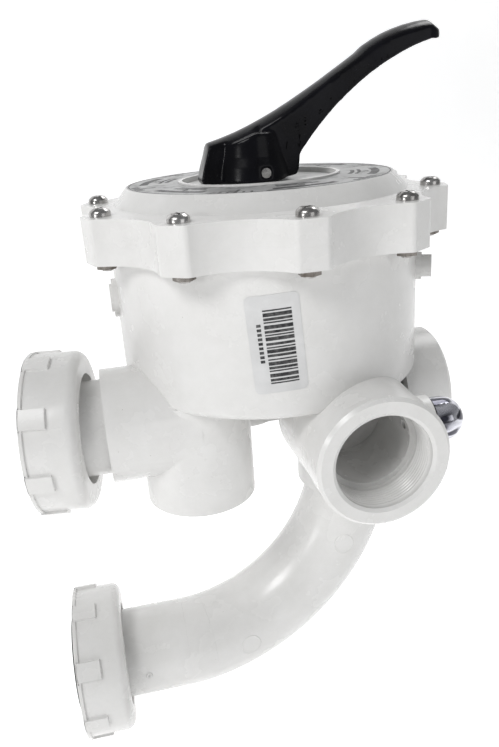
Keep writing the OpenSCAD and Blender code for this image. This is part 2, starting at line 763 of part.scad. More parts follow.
module handle_body(shrink) {
    tall = handle_rise + 20;
    intersection() {
        rotate([90, 0, 0]) translate([0, 0, -40]) linear_extrude(80) handle_side(shrink);
        union() {
            translate([0, 0, -20]) linear_extrude(tall + 20) lever_plan(shrink);
            translate([-hub_back, 0, -pin_rise - 1])
                cylinder(r1 = hub_r - shrink, r2 = hub_r - 5 - shrink, h = 34);
            translate([shrink - tail_reach, shrink - tail_w / 2, -20])
                cube([tail_reach, tail_w - 2 * shrink, tall]);
        }
    }
}

module handle() {
    swing = tongue_half_x + 2 * slide_gap;
    below = 20;                  // cuts start this far down, clear of the underside
    solid_back = hub_r - 0.5;
    solid_front = hub_r - 3.5;
    color([0.05, 0.05, 0.055]) place() translate([0, 0, pin_z]) difference() {
        handle_body(0);
        // hollow lever and tail, open below, outside the hub's cheeks
        difference() {
            handle_body(handle_wall);
            translate([-solid_back, -hub_r, -below])
                cube([solid_back + solid_front, 2 * hub_r, 3 * below]);
        }
        // slot for the stem's tongue, wide enough for the press
        translate([0, slot_half, 0]) rotate([90, 0, 0]) cylinder(r = swing, h = 2 * slot_half);
        translate([-swing, -slot_half, -below])
            cube([swing + slot_front, 2 * slot_half, below + swing * sin(press_angle)]);
        // relief for the round stem below the tongue
        translate([relief_x, 0, -below]) cylinder(r = relief_r, h = below + relief_z);
        translate([0, 2 * hub_r, 0]) rotate([90, 0, 0])
            cylinder(r = pin_r + run_gap, h = 4 * hub_r, $fn = 32);
    }
}

module handle_pin() {
    color(steel) place() translate([0, hub_r - 2.2, pin_z]) rotate([90, 0, 0])
        cylinder(r = pin_r, h = 2 * hub_r - 4.4, $fn = 32);
}

// groove for a union's face O-ring, drawn along +Z from the sealing face
module face_groove() {
    half = face_ring_r + 0.1;
    translate([0, 0, -1])
        tube(face_ring_pitch_r + half, face_ring_pitch_r - half, face_groove_depth + 1);
}

module upper_tailpiece() {
    pipe_len = upper_socket_x + socket_depth - 0.5 - face_x;
    color(body_white) place() at_union(union_z) difference() {
        union() {
            cylinder(r = lip_r, h = flange_t, $fn = 90);
            cylinder(r = pipe_r, h = pipe_len, $fn = 90);
        }
        translate([0, 0, -1]) cylinder(r = bore_r, h = pipe_len + 2);
        face_groove();
    }
}

module face_oring(z) {
    color(seal_black) place() at_union(z)
        translate([0, 0, face_groove_depth - face_ring_r])
            oring(face_ring_pitch_r, face_ring_r);
}

module upper_union_oring() {
    face_oring(union_z);
}

module lower_union_oring() {
    face_oring(lower_z);
}

// union nut, drawn along +Z from its open end
module union_nut() {
    lug_len = nut_len * 0.48;
    rim_rise = lug_h * 0.6;      // raised rim that joins the lugs at the open end
    rim_len = 2.4;
    difference() {
        union() {
            rotate_extrude($fn = 120) {
                square([nut_r, nut_len - nut_edge_r]);
                square([nut_r + rim_rise, rim_len]);
                square([nut_r - nut_edge_r, nut_len]);
                translate([nut_r - nut_edge_r, nut_len - nut_edge_r]) circle(r = nut_edge_r, $fn = 40);
            }
            intersection() {
                translate([0, 0, 0.5]) cylinder(r = nut_r + lug_h, h = lug_len, $fn = 120);
                for (i = [0:lug_count - 1])
                    rotate([0, 0, i * 360 / lug_count + 12])
                        translate([nut_r - 5, -lug_w / 2, 0]) cube([10, lug_w, nut_len]);
            }
        }
        translate([0, 0, -1]) cylinder(r = nut_thread_r, h = nut_len - nut_back_wall + 1, $fn = 90);
        translate([0, 0, -eps]) cylinder(r1 = nut_thread_r + 1.5, r2 = nut_thread_r, h = 1.5, $fn = 90);
        cylinder(r = nut_hole_r, h = nut_len + 1, $fn = 90);
    }
}

module upper_union_nut() {
    color(body_white) place() at_union(union_z) translate([0, 0, nut_back + nut_len])
        rotate([nut_yaw, 0, 0]) translate([0, 0, -nut_len]) union_nut();
}

module lower_union_nut() {
    color(body_white) place() at_union(lower_z) translate([0, 0, nut_back]) union_nut();
}

module lower_tail_flange() {
    color(body_white) place() at_union(lower_z) difference() {
        cylinder(r = lip_r, h = flange_t, $fn = 90);
        translate([0, 0, 2]) cylinder(r = socket_r, h = flange_t, $fn = 90);
        translate([0, 0, -1]) cylinder(r = bore_r, h = 4, $fn = 90);
        face_groove();
    }
}

module pipe_ring() {
    difference() {
        circle(r = pipe_r);
        circle(r = bore_r);
    }
}

// pipe bent by the given angle about a centre that is r to its side
module bent_pipe(r, angle) {
    rotate_extrude(angle = angle) translate([r, 0]) pipe_ring();
}

// ring inside the wall that joins two stretches of pipe across their hairline seam
module splice() {
    inset = pipe_wall / 8;
    translate([0, 0, -0.5]) tube(pipe_r - inset, bore_r + inset, 1);
}

// straight run, sideways bend towards the column and upward bend into its socket
module lower_elbow() {
    shift = column_y + union_y;
    turn = atan2(side_r, bend_r) + asin((shift - side_r) / norm([bend_r, side_r]));
    start_x = column_x - bend_r * cos(turn) - side_r * sin(turn);
    seam_turn = atan(pipe_seam / bend_r);
    color(body_white) place() {
        translate([face_x + 2, -union_y, lower_z]) rotate([0, 90, 0])
            linear_extrude(start_x - pipe_seam - face_x - 2) pipe_ring();
        translate([start_x, -union_y, lower_z]) rotate([0, 90, 0]) splice();
        translate([start_x, side_r - union_y, lower_z]) rotate([0, 0, -90])
            bent_pipe(side_r, turn);
        translate([column_x, column_y, elbow_z]) rotate([0, 0, turn]) {
            translate([-bend_r, 0, -bend_r]) rotate([0, 90, 0]) splice();
            translate([-bend_r, 0, 0]) rotate([90, 0, 0]) rotate([0, 0, seam_turn - 90])
                bent_pipe(bend_r, 90 - 2 * seam_turn);
            splice();
            linear_extrude(column_seat_z - 0.5 - elbow_z) pipe_ring();
        }
    }
}

module sight_glass() {
    color([0.85, 0.88, 0.9, 0.5]) place()
        translate([glass_seat_x, glass_y, glass_z]) rotate([0, 90, 0]) difference() {
            union() {
                cylinder(r = glass_r, h = glass_straight);
                intersection() {
                    translate([0, 0, glass_straight]) sphere(r = glass_r);
                    translate([0, 0, glass_straight]) cylinder(r = glass_r + 1, h = glass_r + 1);
                }
                translate([0, 0, -glass_shank_len]) cylinder(r = glass_shank_r, h = glass_shank_len + 1);
            }
            translate([0, 0, -glass_shank_len - 1])
                cylinder(r = glass_shank_r - glass_wall, h = glass_shank_len + 1 + glass_straight);
            translate([0, 0, glass_straight]) sphere(r = glass_shank_r - glass_wall);
        }
}

module sight_glass_gasket() {
    color(seal_black) place()
        translate([glass_seat_x - gasket_seal_t, glass_y, glass_z]) rotate([0, 90, 0])
            tube(glass_r + 0.8, glass_shank_r, gasket_seal_t);
}

// plug with a slotted head, drawn along +Z from the boss's face
module plug(head_r, head_len) {
    slot_w = 1.8;
    slot_depth = 1.4;
    shank_top = (head_len - slot_depth) / 2;
    translate([0, 0, -plug_shank_len])
        cylinder(r = plug_shank_r, h = plug_shank_len + shank_top);
    difference() {
        cylinder(r = head_r, h = head_len);
        translate([-head_r, -slot_w / 2, head_len - slot_depth])
            cube([2 * head_r, slot_w, slot_depth + 1]);
    }
}

module gauge_plug() {
    color(body_white) place() rotate([0, 0, gauge_turn])
        translate([gauge_boss_reach, 0, gauge_z]) rotate([0, 90, 0]) plug(7, 6);
}

module drain_plug() {
    color(body_white) place() rotate([0, 0, drain_turn])
        translate([drain_boss_reach, 0, drain_z]) rotate([0, 90, 0]) plug(9, 1.6);
}

module label_outline() {
    half = [label_w / 2 - label_corner, label_h / 2 - label_corner];
    square([label_w, label_h - 2 * label_corner], center = true);
    square([label_w - 2 * label_corner, label_h], center = true);
    for (sx = [-1, 1], sy = [-1, 1])
        translate([sx * half[0], sy * half[1]]) circle(r = label_corner, $fn = 24);
}

module sticker() {
    color([0.8, 0.8, 0.8]) place() intersection() {
        translate([0, 0, label_z - label_h])
            tube(body_r + label_t, body_r, 2 * label_h, $fn = 180);
        rotate([0, 0, label_turn]) translate([body_r - 20, 0, label_z])
            rotate([90, 0, 90]) linear_extrude(40) rotate(label_tilt) label_outline();
    }
}

valve_body();
lid();
lid_oring();
dial_plate();
lid_screws();
lid_nuts();
rotor();
spider_gasket();
rotor_spring();
spring_washer_top();
spring_washer_bottom();
stem_orings();
handle_washer();
handle();
handle_pin();
upper_tailpiece();
upper_union_nut();
upper_union_oring();
lower_elbow();
lower_tail_flange();
lower_union_nut();
lower_union_oring();
sight_glass();
sight_glass_gasket();
gauge_plug();
drain_plug();
sticker();
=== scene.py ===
"""Looks of the multiport valve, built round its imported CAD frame."""

import json
import math

import bmesh
import bpy
from mathutils import Matrix, Vector
from mathutils.bvhtree import BVHTree

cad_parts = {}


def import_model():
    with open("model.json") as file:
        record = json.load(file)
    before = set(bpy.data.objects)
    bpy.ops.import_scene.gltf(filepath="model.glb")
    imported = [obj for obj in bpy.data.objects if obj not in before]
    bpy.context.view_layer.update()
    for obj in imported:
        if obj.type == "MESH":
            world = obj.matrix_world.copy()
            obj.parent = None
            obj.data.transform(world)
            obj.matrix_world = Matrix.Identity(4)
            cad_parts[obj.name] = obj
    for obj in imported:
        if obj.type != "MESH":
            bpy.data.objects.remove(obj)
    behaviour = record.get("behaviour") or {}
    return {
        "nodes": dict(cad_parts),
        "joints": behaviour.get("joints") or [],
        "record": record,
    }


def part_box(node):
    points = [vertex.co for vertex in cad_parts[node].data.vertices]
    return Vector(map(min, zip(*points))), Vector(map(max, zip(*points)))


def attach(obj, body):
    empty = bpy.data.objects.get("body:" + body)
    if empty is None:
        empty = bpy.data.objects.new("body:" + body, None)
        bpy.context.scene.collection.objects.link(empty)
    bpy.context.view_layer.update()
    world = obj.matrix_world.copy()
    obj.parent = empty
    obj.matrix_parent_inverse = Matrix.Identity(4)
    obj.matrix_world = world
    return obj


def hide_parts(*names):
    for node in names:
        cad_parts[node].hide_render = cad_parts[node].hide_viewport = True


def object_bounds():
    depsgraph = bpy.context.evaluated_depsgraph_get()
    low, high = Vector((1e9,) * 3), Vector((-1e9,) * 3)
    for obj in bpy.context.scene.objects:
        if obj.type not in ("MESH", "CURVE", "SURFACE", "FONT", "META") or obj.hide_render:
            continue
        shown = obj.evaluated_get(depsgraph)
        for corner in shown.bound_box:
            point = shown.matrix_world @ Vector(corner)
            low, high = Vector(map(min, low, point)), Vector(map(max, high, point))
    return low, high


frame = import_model()
cad_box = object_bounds()
nodes = frame["nodes"]
MM = 0.001
TAU = 2 * math.pi


# ---------------------------------------------------------------- places taken from the frame

def centre(node):
    low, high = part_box(node)
    return (low + high) / 2


def size(node):
    low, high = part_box(node)
    return high - low


def named(rows, name):
    return next(row for row in rows if row["name"] == name)


def mount(name):
    found = named(frame["record"]["mounts"], name)
    return Vector(found["pos_m"]), Vector(found["axis"]), found["dims"]


def joint(name):
    found = named(frame["joints"], name)
    return Vector(found["pos_m"]), Vector(found["axis"])


AXIS = centre("dial_plate")                # the rotor's axis
DIAL_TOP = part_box("dial_plate")[1].z
DIAL_R = size("dial_plate").x / 2
RING_W = 3.1 * MM                          # the raised ring, with its gap to the washer
RING_R = size("handle_washer").x / 2 + RING_W


# ---------------------------------------------------------------- materials

NOISE_LOW, NOISE_HIGH = 0.3, 0.7           # nearly all of a noise texture lies between these


def grey(value):
    return (value, value, value)


class Finish:
    """A procedural material: a principled shader with noise in its colour, roughness and bump."""

    def __init__(self, name):
        self.material = bpy.data.materials.new(name)
        self.material.use_nodes = True
        self.tree = self.material.node_tree
        self.shader = self.tree.nodes["Principled BSDF"]
        self.coords = self.tree.nodes.new("ShaderNodeTexCoord").outputs["Object"]

    def node(self, kind, **settings):
        made = self.tree.nodes.new(kind)
        for key, value in settings.items():
            setattr(made, key, value)
        return made

    def link(self, start, end):
        self.tree.links.new(start, end)

    def noise(self, scale, detail=4.0, roughness=0.55, coords=None):
        made = self.node("ShaderNodeTexNoise")
        made.inputs["Scale"].default_value = scale
        made.inputs["Detail"].default_value = detail
        made.inputs["Roughness"].default_value = roughness
        self.link(coords or self.coords, made.inputs["Vector"])
        return made.outputs["Fac"]

    def ramp(self, factor, stops):
        made = self.node("ShaderNodeValToRGB")
        while len(made.color_ramp.elements) < len(stops):
            made.color_ramp.elements.new(0.5)
        for element, (place, colour) in zip(made.color_ramp.elements, stops):
            element.position = place
            element.color = (*colour, 1.0)
        self.link(factor, made.inputs["Fac"])
        return made.outputs["Color"]

    def mottle(self, scale, dark, light, **noise):
        """Two colours, blended in soft patches."""
        stops = [(NOISE_LOW, dark), (NOISE_HIGH, light)]
        return self.ramp(self.noise(scale, **noise), stops)

    def spread(self, factor, low, high):
        """Stretches a noise over the values from low to high."""
        made = self.node("ShaderNodeMapRange")
        made.inputs["From Min"].default_value = NOISE_LOW
        made.inputs["From Max"].default_value = NOISE_HIGH
        made.inputs["To Min"].default_value = low
        made.inputs["To Max"].default_value = high
        self.link(factor, made.inputs["Value"])
        return made.outputs["Result"]

    def over(self, mask, below, above):
        """Shows one colour over another where the mask is white."""
        made = self.node("ShaderNodeMix", data_type="RGBA")
        self.link(mask, made.inputs["Factor"])
        self.link(below, made.inputs["A"])
        self.link(above, made.inputs["B"])
        return made.outputs["Result"]

    def colour(self, source):
        self.link(source, self.shader.inputs["Base Color"])

    def rough(self, scale, low, high):
        self.link(self.spread(self.noise(scale), low, high), self.shader.inputs["Roughness"])

    def bump(self, layers):
        """layers are (noise scale, height in metres), from coarse to fine."""
        normal = None
        for scale, height in layers:
            made = self.node("ShaderNodeBump")
            made.inputs["Distance"].default_value = height
            self.link(self.noise(scale, detail=3.0), made.inputs["Height"])
            if normal:
                self.link(normal, made.inputs["Normal"])
            normal = made.outputs["Normal"]
        self.link(normal, self.shader.inputs["Normal"])

    def set(self, **values):
        for key, value in values.items():
            self.shader.inputs[key.replace("_", " ")].default_value = value
        return self


def white_plastic():
    """Glossy moulded plastic, slightly warm, with faint clouding and a few dark specks."""
    f = Finish("white_plastic")
    light, dark = (0.765, 0.76, 0.75), (0.70, 0.695, 0.68)
    cloud = f.mottle(40, dark, light, detail=7.0, roughness=0.75)
    speck = f.ramp(f.noise(330, detail=2.0), [(0.200, grey(1)), (0.220, grey(0))])
    dirt = f.ramp(f.noise(60), [(0.0, (0.26, 0.24, 0.20)), (1.0, (0.42, 0.40, 0.36))])
    f.colour(f.over(speck, cloud, dirt))
    f.rough(45, 0.22, 0.30)
    f.bump([(900, 0.000008)])
    return f.set(IOR=1.49).material


def black_plastic():
    """Glossy black moulded plastic with a faint orange peel and fine scuffs."""
    f = Finish("black_plastic")
    deep, bluish = (0.0025, 0.0025, 0.0035), (0.006, 0.006, 0.009)
    f.colour(f.ramp(f.noise(38), [(0.35, deep), (0.7, bluish)]))
    f.rough(70, 0.18, 0.28)
    f.bump([(75, 0.00016), (600, 0.00001)])
    return f.set(IOR=1.45, Specular_IOR_Level=0.17).material


def inner_plastic():
    """Unpolished off-white plastic of the pieces inside."""
    f = Finish("inner_plastic")
    f.colour(f.mottle(35, (0.66, 0.65, 0.60), (0.74, 0.73, 0.69)))
    f.rough(60, 0.38, 0.5)
    f.bump([(160, 0.00006)])
    return f.material


def washer_plastic():
    """Light grey disc under the lever, with faint wear."""
    f = Finish("washer_plastic")
    f.colour(f.mottle(55, (0.50, 0.50, 0.49), (0.66, 0.66, 0.65), detail=6.0))
    f.rough(90, 0.3, 0.48)
    f.bump([(110, 0.00008), (700, 0.00001)])
    return f.material


def dial_print():
    """Grey plate whose printed ground is worn and blotchy."""
    f = Finish("dial_print")
    ground = f.mottle(24, grey(0.27), grey(0.43), detail=6.0)
    flake = f.ramp(f.noise(130, detail=6.0), [(0.40, grey(1)), (0.47, grey(0))])
    worn = f.ramp(f.noise(200), [(0.0, grey(0.10)), (1.0, grey(0.26))])
    f.colour(f.over(flake, ground, worn))
    f.rough(120, 0.28, 0.42)
    f.bump([(260, 0.00004)])
    return f.set(Metallic=0.15).material


def ink():
    """Matt black print, rubbed thin in places."""
    f = Finish("ink")
    full, thin = (0.012, 0.012, 0.014), grey(0.09)
    f.colour(f.ramp(f.noise(420, detail=3.0), [(0.42, full), (0.66, thin)]))
    f.rough(200, 0.4, 0.6)
    f.bump([(500, 0.00001)])
    return f.material


def label_stock():
    """Pale grey paper label with fibre and a slight shine."""
    f = Finish("label_stock")
    f.colour(f.mottle(80, grey(0.60), grey(0.69), detail=6.0))
    f.rough(150, 0.34, 0.46)
    f.bump([(900, 0.000012)])
    return f.material


def stainless():
    """Bright stainless steel with small marks and dull spots."""
    f = Finish("stainless")
    f.colour(f.mottle(160, (0.32, 0.31, 0.30), (0.62, 0.61, 0.60), detail=5.0))
    f.rough(240, 0.14, 0.3)
    f.bump([(300, 0.00006), (1400, 0.00001)])
    return f.set(Metallic=1.0).material


def nut_steel():
    """Dull stainless steel of the nuts, stained in places."""
    f = Finish("nut_steel")
    f.colour(f.mottle(140, (0.09, 0.075, 0.06), (0.34, 0.32, 0.30), detail=5.0))
    f.rough(200, 0.2, 0.42)
    f.bump([(400, 0.00005)])
    return f.set(Metallic=1.0).material


def seal_rubber():
    """Matt black rubber with a fine grain."""
    f = Finish("seal_rubber")
    f.colour(f.mottle(90, grey(0.014), grey(0.028)))
    f.rough(120, 0.55, 0.72)
    f.bump([(500, 0.00003)])
    return f.material


def clear_plastic():
    """Thick clear plastic of the sight glass, with the streaks of its bent reflections."""
    f = Finish("clear_plastic")
    stretch = f.node("ShaderNodeMapping")
    stretch.inputs["Scale"].default_value = (0.5, 1.0, 1.6)
    f.link(f.coords, stretch.inputs["Vector"])
    streaks = f.noise(75, detail=1.0, coords=stretch.outputs["Vector"])
    f.colour(f.ramp(streaks, [(0.36, (0.012, 0.012, 0.02)), (0.42, (0.45, 0.45, 0.50)),
                              (0.58, (0.80, 0.80, 0.86)), (0.64, (0.08, 0.08, 0.10))]))
    f.rough(60, 0.03, 0.08)
    f.bump([(60, 0.0004)])
    return f.set(IOR=1.6, Transmission_Weight=0.1, Metallic=0.8).material


FINISHES = {
    "white_plastic": white_plastic(),
    "black_plastic": black_plastic(),
    "inner_plastic": inner_plastic(),
    "washer_plastic": washer_plastic(),
    "dial_print": dial_print(),
    "label_stock": label_stock(),
    "stainless": stainless(),
    "seal_rubber": seal_rubber(),
    "clear_plastic": clear_plastic(),
}
INK = ink()
NUT_STEEL = nut_steel()

for part in frame["record"]["subparts"]:
    shown = nodes[part["node"]]
    shown.data.materials.clear()
    shown.data.materials.append(FINISHES[part["material_slot"]])
nodes["lid_nuts"].data.materials[0] = NUT_STEEL


# ---------------------------------------------------------------- edges of the CAD pieces

WELD_GAP = 0.002 * MM


def clear_normals(mesh):
    """Drops the stored normals, so that the bevels shade by their own."""
    if "custom_normal" in mesh.attributes:
        mesh.attributes.remove(mesh.attributes["custom_normal"])


def soften(node, width):
    """Rounds a CAD node's sharp edges with modifiers, and leaves its own vertices alone."""
    shown = nodes[node]
    clear_normals(shown.data)
    shown.data.shade_smooth()
    shown.modifiers.new("weld", "WELD").merge_threshold = WELD_GAP
    bevel = shown.modifiers.new("bevel", "BEVEL")
    bevel.width = width
    bevel.segments = 2
    bevel.limit_method = "ANGLE"
    bevel.angle_limit = math.radians(35)
    bevel.harden_normals = True
    bevel.miter_outer = "MITER_ARC"


def rounded_copy(node, name, voxel, passes):
    """A copy of a CAD node with every edge rounded, by remeshing and smoothing it."""
    copy = bpy.data.objects.new(name, nodes[node].data.copy())
    bpy.context.scene.collection.objects.link(copy)
    clear_normals(copy.data)
    copy.modifiers.new("weld", "WELD").merge_threshold = WELD_GAP
    remesh = copy.modifiers.new("remesh", "REMESH")
    remesh.mode = "VOXEL"
    remesh.voxel_size = voxel
    smooth = copy.modifiers.new("smooth", "SMOOTH")
    smooth.factor = 0.5
    smooth.iterations = passes
    graph = bpy.context.evaluated_depsgraph_get()
    mesh = bpy.data.meshes.new_from_object(copy.evaluated_get(graph))
    copy.modifiers.clear()
    copy.data = mesh
    mesh.name = name
    mesh.shade_smooth()
    return copy


def crown(shown, drop, half_width, fade):
    """Lowers the skin towards the lever's sides, so that its flat top becomes round.

    The full drop is at half_width from the middle, and it fades out at that depth under the top.
    Nothing moves near the pin.
    """
    still, rise, sky = 4 * MM, 10 * MM, 0.5
    graph = bpy.context.evaluated_depsgraph_get()
    tree = BVHTree.FromObject(shown, graph)
    pin = centre("handle_pin")
    for vertex in shown.data.vertices:
        spot = vertex.co
        above = tree.ray_cast(Vector((spot.x, spot.y, sky)), Vector((0, 0, -1)))[0]
        if above:
            share = min(1, abs(spot.y - pin.y) / half_width)
            raised = min(1, max(0, (spot.z - pin.z - still) / rise))
            near_top = max(0, 1 - (above.z - spot.z) / fade)
            vertex.co.z -= drop * raised * share ** 2 * near_top
    shown.data.update()


def piece(name, mesh, material, body):
    """Shows a mesh made here, riding on a body."""
    made = bpy.data.objects.new(name, mesh)
    bpy.context.scene.collection.objects.link(made)
    mesh.materials.clear()
    mesh.materials.append(material)
    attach(made, body)


def stand_for(copy, node, body, slot):
    """Puts a rounded copy in a CAD node's place."""
    copy.data.materials.clear()
    copy.data.materials.append(FINISHES[slot])
    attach(copy, body)
    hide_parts(node)


EDGES = {
    "valve_body": 0.7 * MM,
    "lid": 0.6 * MM,
    "upper_tailpiece": 0.4 * MM,
    "lower_tail_flange": 0.4 * MM,
    "gauge_plug": 0.4 * MM,
    "drain_plug": 0.4 * MM,
    "lid_screws": 0.35 * MM,
    "lid_nuts": 0.35 * MM,
    "handle_washer": 0.3 * MM,
    "upper_union_nut": 0.7 * MM,
    "lower_union_nut": 0.7 * MM,
}
for node, width in EDGES.items():
    soften(node, width)

lever = rounded_copy("handle", "lever_handle", voxel=0.8 * MM, passes=12)
crown(lever, drop=4.5 * MM, half_width=13 * MM, fade=11 * MM)
stand_for(lever, "handle", "lever", "black_plastic")


# ---------------------------------------------------------------- print on the dial

POSITIONS = 6
POSITION_STEP = 360 // POSITIONS
FIRST_POSITION = 38                        # degrees from +X
RIM_STEP = 30
RIM_LINE = (DIAL_R - 1.5 * MM, DIAL_R - 0.9 * MM)
PRINT_LOW = DIAL_TOP + 0.01 * MM
PRINT_HIGH = DIAL_TOP + 0.07 * MM
# bars of a position: inner and outer share of the dial's width, first and last angle
BARS = [
    (0.60, 0.76, -15, 15),
    (0.20, 0.28, -12, 9),
    (0.34, 0.40, -12, -1),
    (0.34, 0.40, 1, 11),
    (0.50, 0.92, 29.3, 30.7),
]
# short ticks beside the long one that parts two positions
BARS += [(0.78, 0.92, 30 + 3.2 * k - 0.5, 30 + 3.2 * k + 0.5) for k in (-2, -1, 1, 2)]


def ring_of_faces(bm, rows):
    """Joins neighbouring loops of the same length with quads."""
    for a, b in zip(rows, rows[1:]):
        for k in range(len(a)):
            n = (k + 1) % len(a)
            bm.faces.new((a[k], a[n], b[n], b[k]))


def close_block(bm, rows):
    """Joins the loops and closes both ends."""
    ring_of_faces(bm, rows)
    bm.faces.new(rows[0][::-1])
    bm.faces.new(rows[-1])


def sector(bm, r_low, r_high, start, end):
    """A closed flat block of print between two radii and two angles round the rotor's axis."""
    steps = max(2, int(abs(end - start) / 3))
    low, high = PRINT_LOW, PRINT_HIGH
    rows = []
    for i in range(steps + 1):
        angle = math.radians(start + (end - start) * i / steps)
        way = Vector((math.cos(angle), math.sin(angle), 0))
        base = Vector((AXIS.x, AXIS.y, 0))
        rows.append([
            bm.verts.new(base + way * r + Vector((0, 0, z)))
            for r, z in ((r_low, low), (r_high, low), (r_high, high), (r_low, high))
        ])
    close_block(bm, rows)


def finish_mesh(bm, name, smooth=False):
    """Turns the working mesh into data with its faces outward."""
    bmesh.ops.recalc_face_normals(bm, faces=bm.faces)
    mesh = bpy.data.meshes.new(name)
    bm.to_mesh(mesh)
    bm.free()
    if smooth:
        mesh.shade_smooth()
    return mesh


def dial_marks():
    """Curved bars and ticks of six positions, and a line round the rim."""
    bm = bmesh.new()
    width = DIAL_R - RING_R
    for turn in range(0, 360, POSITION_STEP):
        at = turn + FIRST_POSITION
        for inner, outer, first, last in BARS:
            sector(bm, RING_R + inner * width, RING_R + outer * width, at + first, at + last)
    for start in range(0, 360, RIM_STEP):
        sector(bm, *RIM_LINE, start, start + RIM_STEP)
    return finish_mesh(bm, "dial_marks")


def dial_digits():
    """Generic position numbers, readable from outside the dial."""
    pitch_r = RING_R + 0.47 * (DIAL_R - RING_R)
    half_thick = 0.03 * MM
    whole = bmesh.new()
    for number in range(POSITIONS):
        text = bpy.data.curves.new("digit", "FONT")
        text.body = str(number + 1)
        text.size = 9 * MM
        text.extrude = half_thick
        text.align_x = "CENTER"
        text.align_y = "CENTER"
        text.resolution_u = 4
        holder = bpy.data.objects.new("digit", text)
        bpy.context.scene.collection.objects.link(holder)
        bpy.context.view_layer.update()
        mesh = bpy.data.meshes.new_from_object(holder)
        turn = math.radians(number * POSITION_STEP + FIRST_POSITION)
        away = Matrix.Rotation(turn, 4, "Z") @ Matrix.Translation((pitch_r, 0, 0))
        upright = away @ Matrix.Rotation(math.radians(90), 4, "Z")
        height = PRINT_LOW + half_thick
        mesh.transform(Matrix.Translation((AXIS.x, AXIS.y, height)) @ upright)
        whole.from_mesh(mesh)
        bpy.data.objects.remove(holder)
        bpy.data.meshes.remove(mesh)
    mesh = bpy.data.meshes.new("dial_digits")
    whole.to_mesh(mesh)
    whole.free()
    return mesh


piece("dial_marks", dial_marks(), INK, "valve")
piece("dial_digits", dial_digits(), INK, "valve")


# ---------------------------------------------------------------- bars on the label

LABEL_TURN = math.radians(-100.1)          # its middle, round the axis from +X
LABEL_TILT = math.radians(3.6)
LABEL_W = 30 * MM
LABEL_H = 56.5 * MM
BAR_SPAN = (-0.19 * LABEL_W, 0.34 * LABEL_W)
DASH_SPAN = (-0.33 * LABEL_W, -0.25 * LABEL_W)


def label_bars():
    """Plain bars across the label's right part and short dashes at its left.

    A place on the label is u across it and v up it, both from its middle.
    """
    skin = AXIS.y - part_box("sticker")[0].y
    middle = centre("sticker").z
    low, high = 0.02 * MM, 0.09 * MM
    bm = bmesh.new()

    def spot(u, v, lift):
        across = u * math.cos(LABEL_TILT) - v * math.sin(LABEL_TILT)
        up = u * math.sin(LABEL_TILT) + v * math.cos(LABEL_TILT)
        angle = LABEL_TURN + math.asin(across / skin)
        r = skin + lift
        place = (AXIS.x + r * math.cos(angle), AXIS.y + r * math.sin(angle), middle + up)
        return bm.verts.new(place)

    def patch(u_low, u_high, v_low, v_high):
        steps = 6
        corners = ((v_low, low), (v_high, low), (v_high, high), (v_low, high))
        rows = []
        for i in range(steps + 1):
            u = u_low + (u_high - u_low) * i / steps
            rows.append([spot(u, v, lift) for v, lift in corners])
        close_block(bm, rows)

    bars = [0.8, 1.5, 2.1, 1.1]
    gaps = [0.7, 1.2, 0.9]
    v = -LABEL_H / 2 + 5.5 * MM
    top = LABEL_H / 2 - 8 * MM
    count = 0
    while v < top:
        bar = bars[(count * 5 + count // 3) % len(bars)] * MM
        gap = gaps[(count * 2 + count // 4) % len(gaps)] * MM
        patch(*BAR_SPAN, v, v + bar)
        v += bar + gap
        count += 1
    dash, dash_step, dash_start, dashes = 1.6 * MM, 2.6 * MM, -10 * MM, 9
    for k in range(dashes):
        v = dash_start + dash_step * k
        patch(*DASH_SPAN, v, v + dash)
    return finish_mesh(bm, "label_bars")


piece("label_bars", label_bars(), INK, "valve")


# ---------------------------------------------------------------- moulding marks on the elbow

def moulding_mark(name, x, z, profile):
    """A round mark on the elbow's near side.

    profile lists (radius, rise above the skin), from its middle outwards.
    """
    around, sink, in_front = 40, 0.4 * MM, -0.2
    graph = bpy.context.evaluated_depsgraph_get()
    skin = BVHTree.FromObject(nodes["lower_elbow"], graph)
    bm = bmesh.new()

    def point(r, j, rise):
        angle = TAU * j / around
        start = Vector((x + r * math.cos(angle), in_front, z + r * math.sin(angle)))
        hit, normal = skin.ray_cast(start, Vector((0, 1, 0)))[:2]
        return bm.verts.new(hit + normal * rise)

    top = [[point(r, j, rise) for j in range(around)] for r, rise in profile]
    under = [[point(r, j, -sink) for j in range(around)] for r, rise in reversed(profile)]
    loops = top + under
    ring_of_faces(bm, loops)
    bm.faces.new(loops[0])
    bm.faces.new(loops[-1][::-1])
    mesh = finish_mesh(bm, name, smooth=True)
    piece(name, mesh, FINISHES["white_plastic"], "valve")


EJECTOR_RING = [
    (5.8 * MM, 0.03 * MM),
    (6.6 * MM, 0.05 * MM),
    (7.0 * MM, 0.30 * MM),
    (7.4 * MM, 0.02 * MM),
]
PIMPLE = [
    (0.5 * MM, 0.1 * MM),
    (1.3 * MM, 1.2 * MM),
    (1.9 * MM, 1.0 * MM),
    (2.4 * MM, 0.02 * MM),
]
moulding_mark("ejector_mark_upper", 0.1974, -0.1155, EJECTOR_RING)
moulding_mark("ejector_mark_lower", 0.1216, -0.1756, EJECTOR_RING)
moulding_mark("sprue_pimple", 0.0478, -0.1776, PIMPLE)


# ---------------------------------------------------------------- threads in the ports and nuts

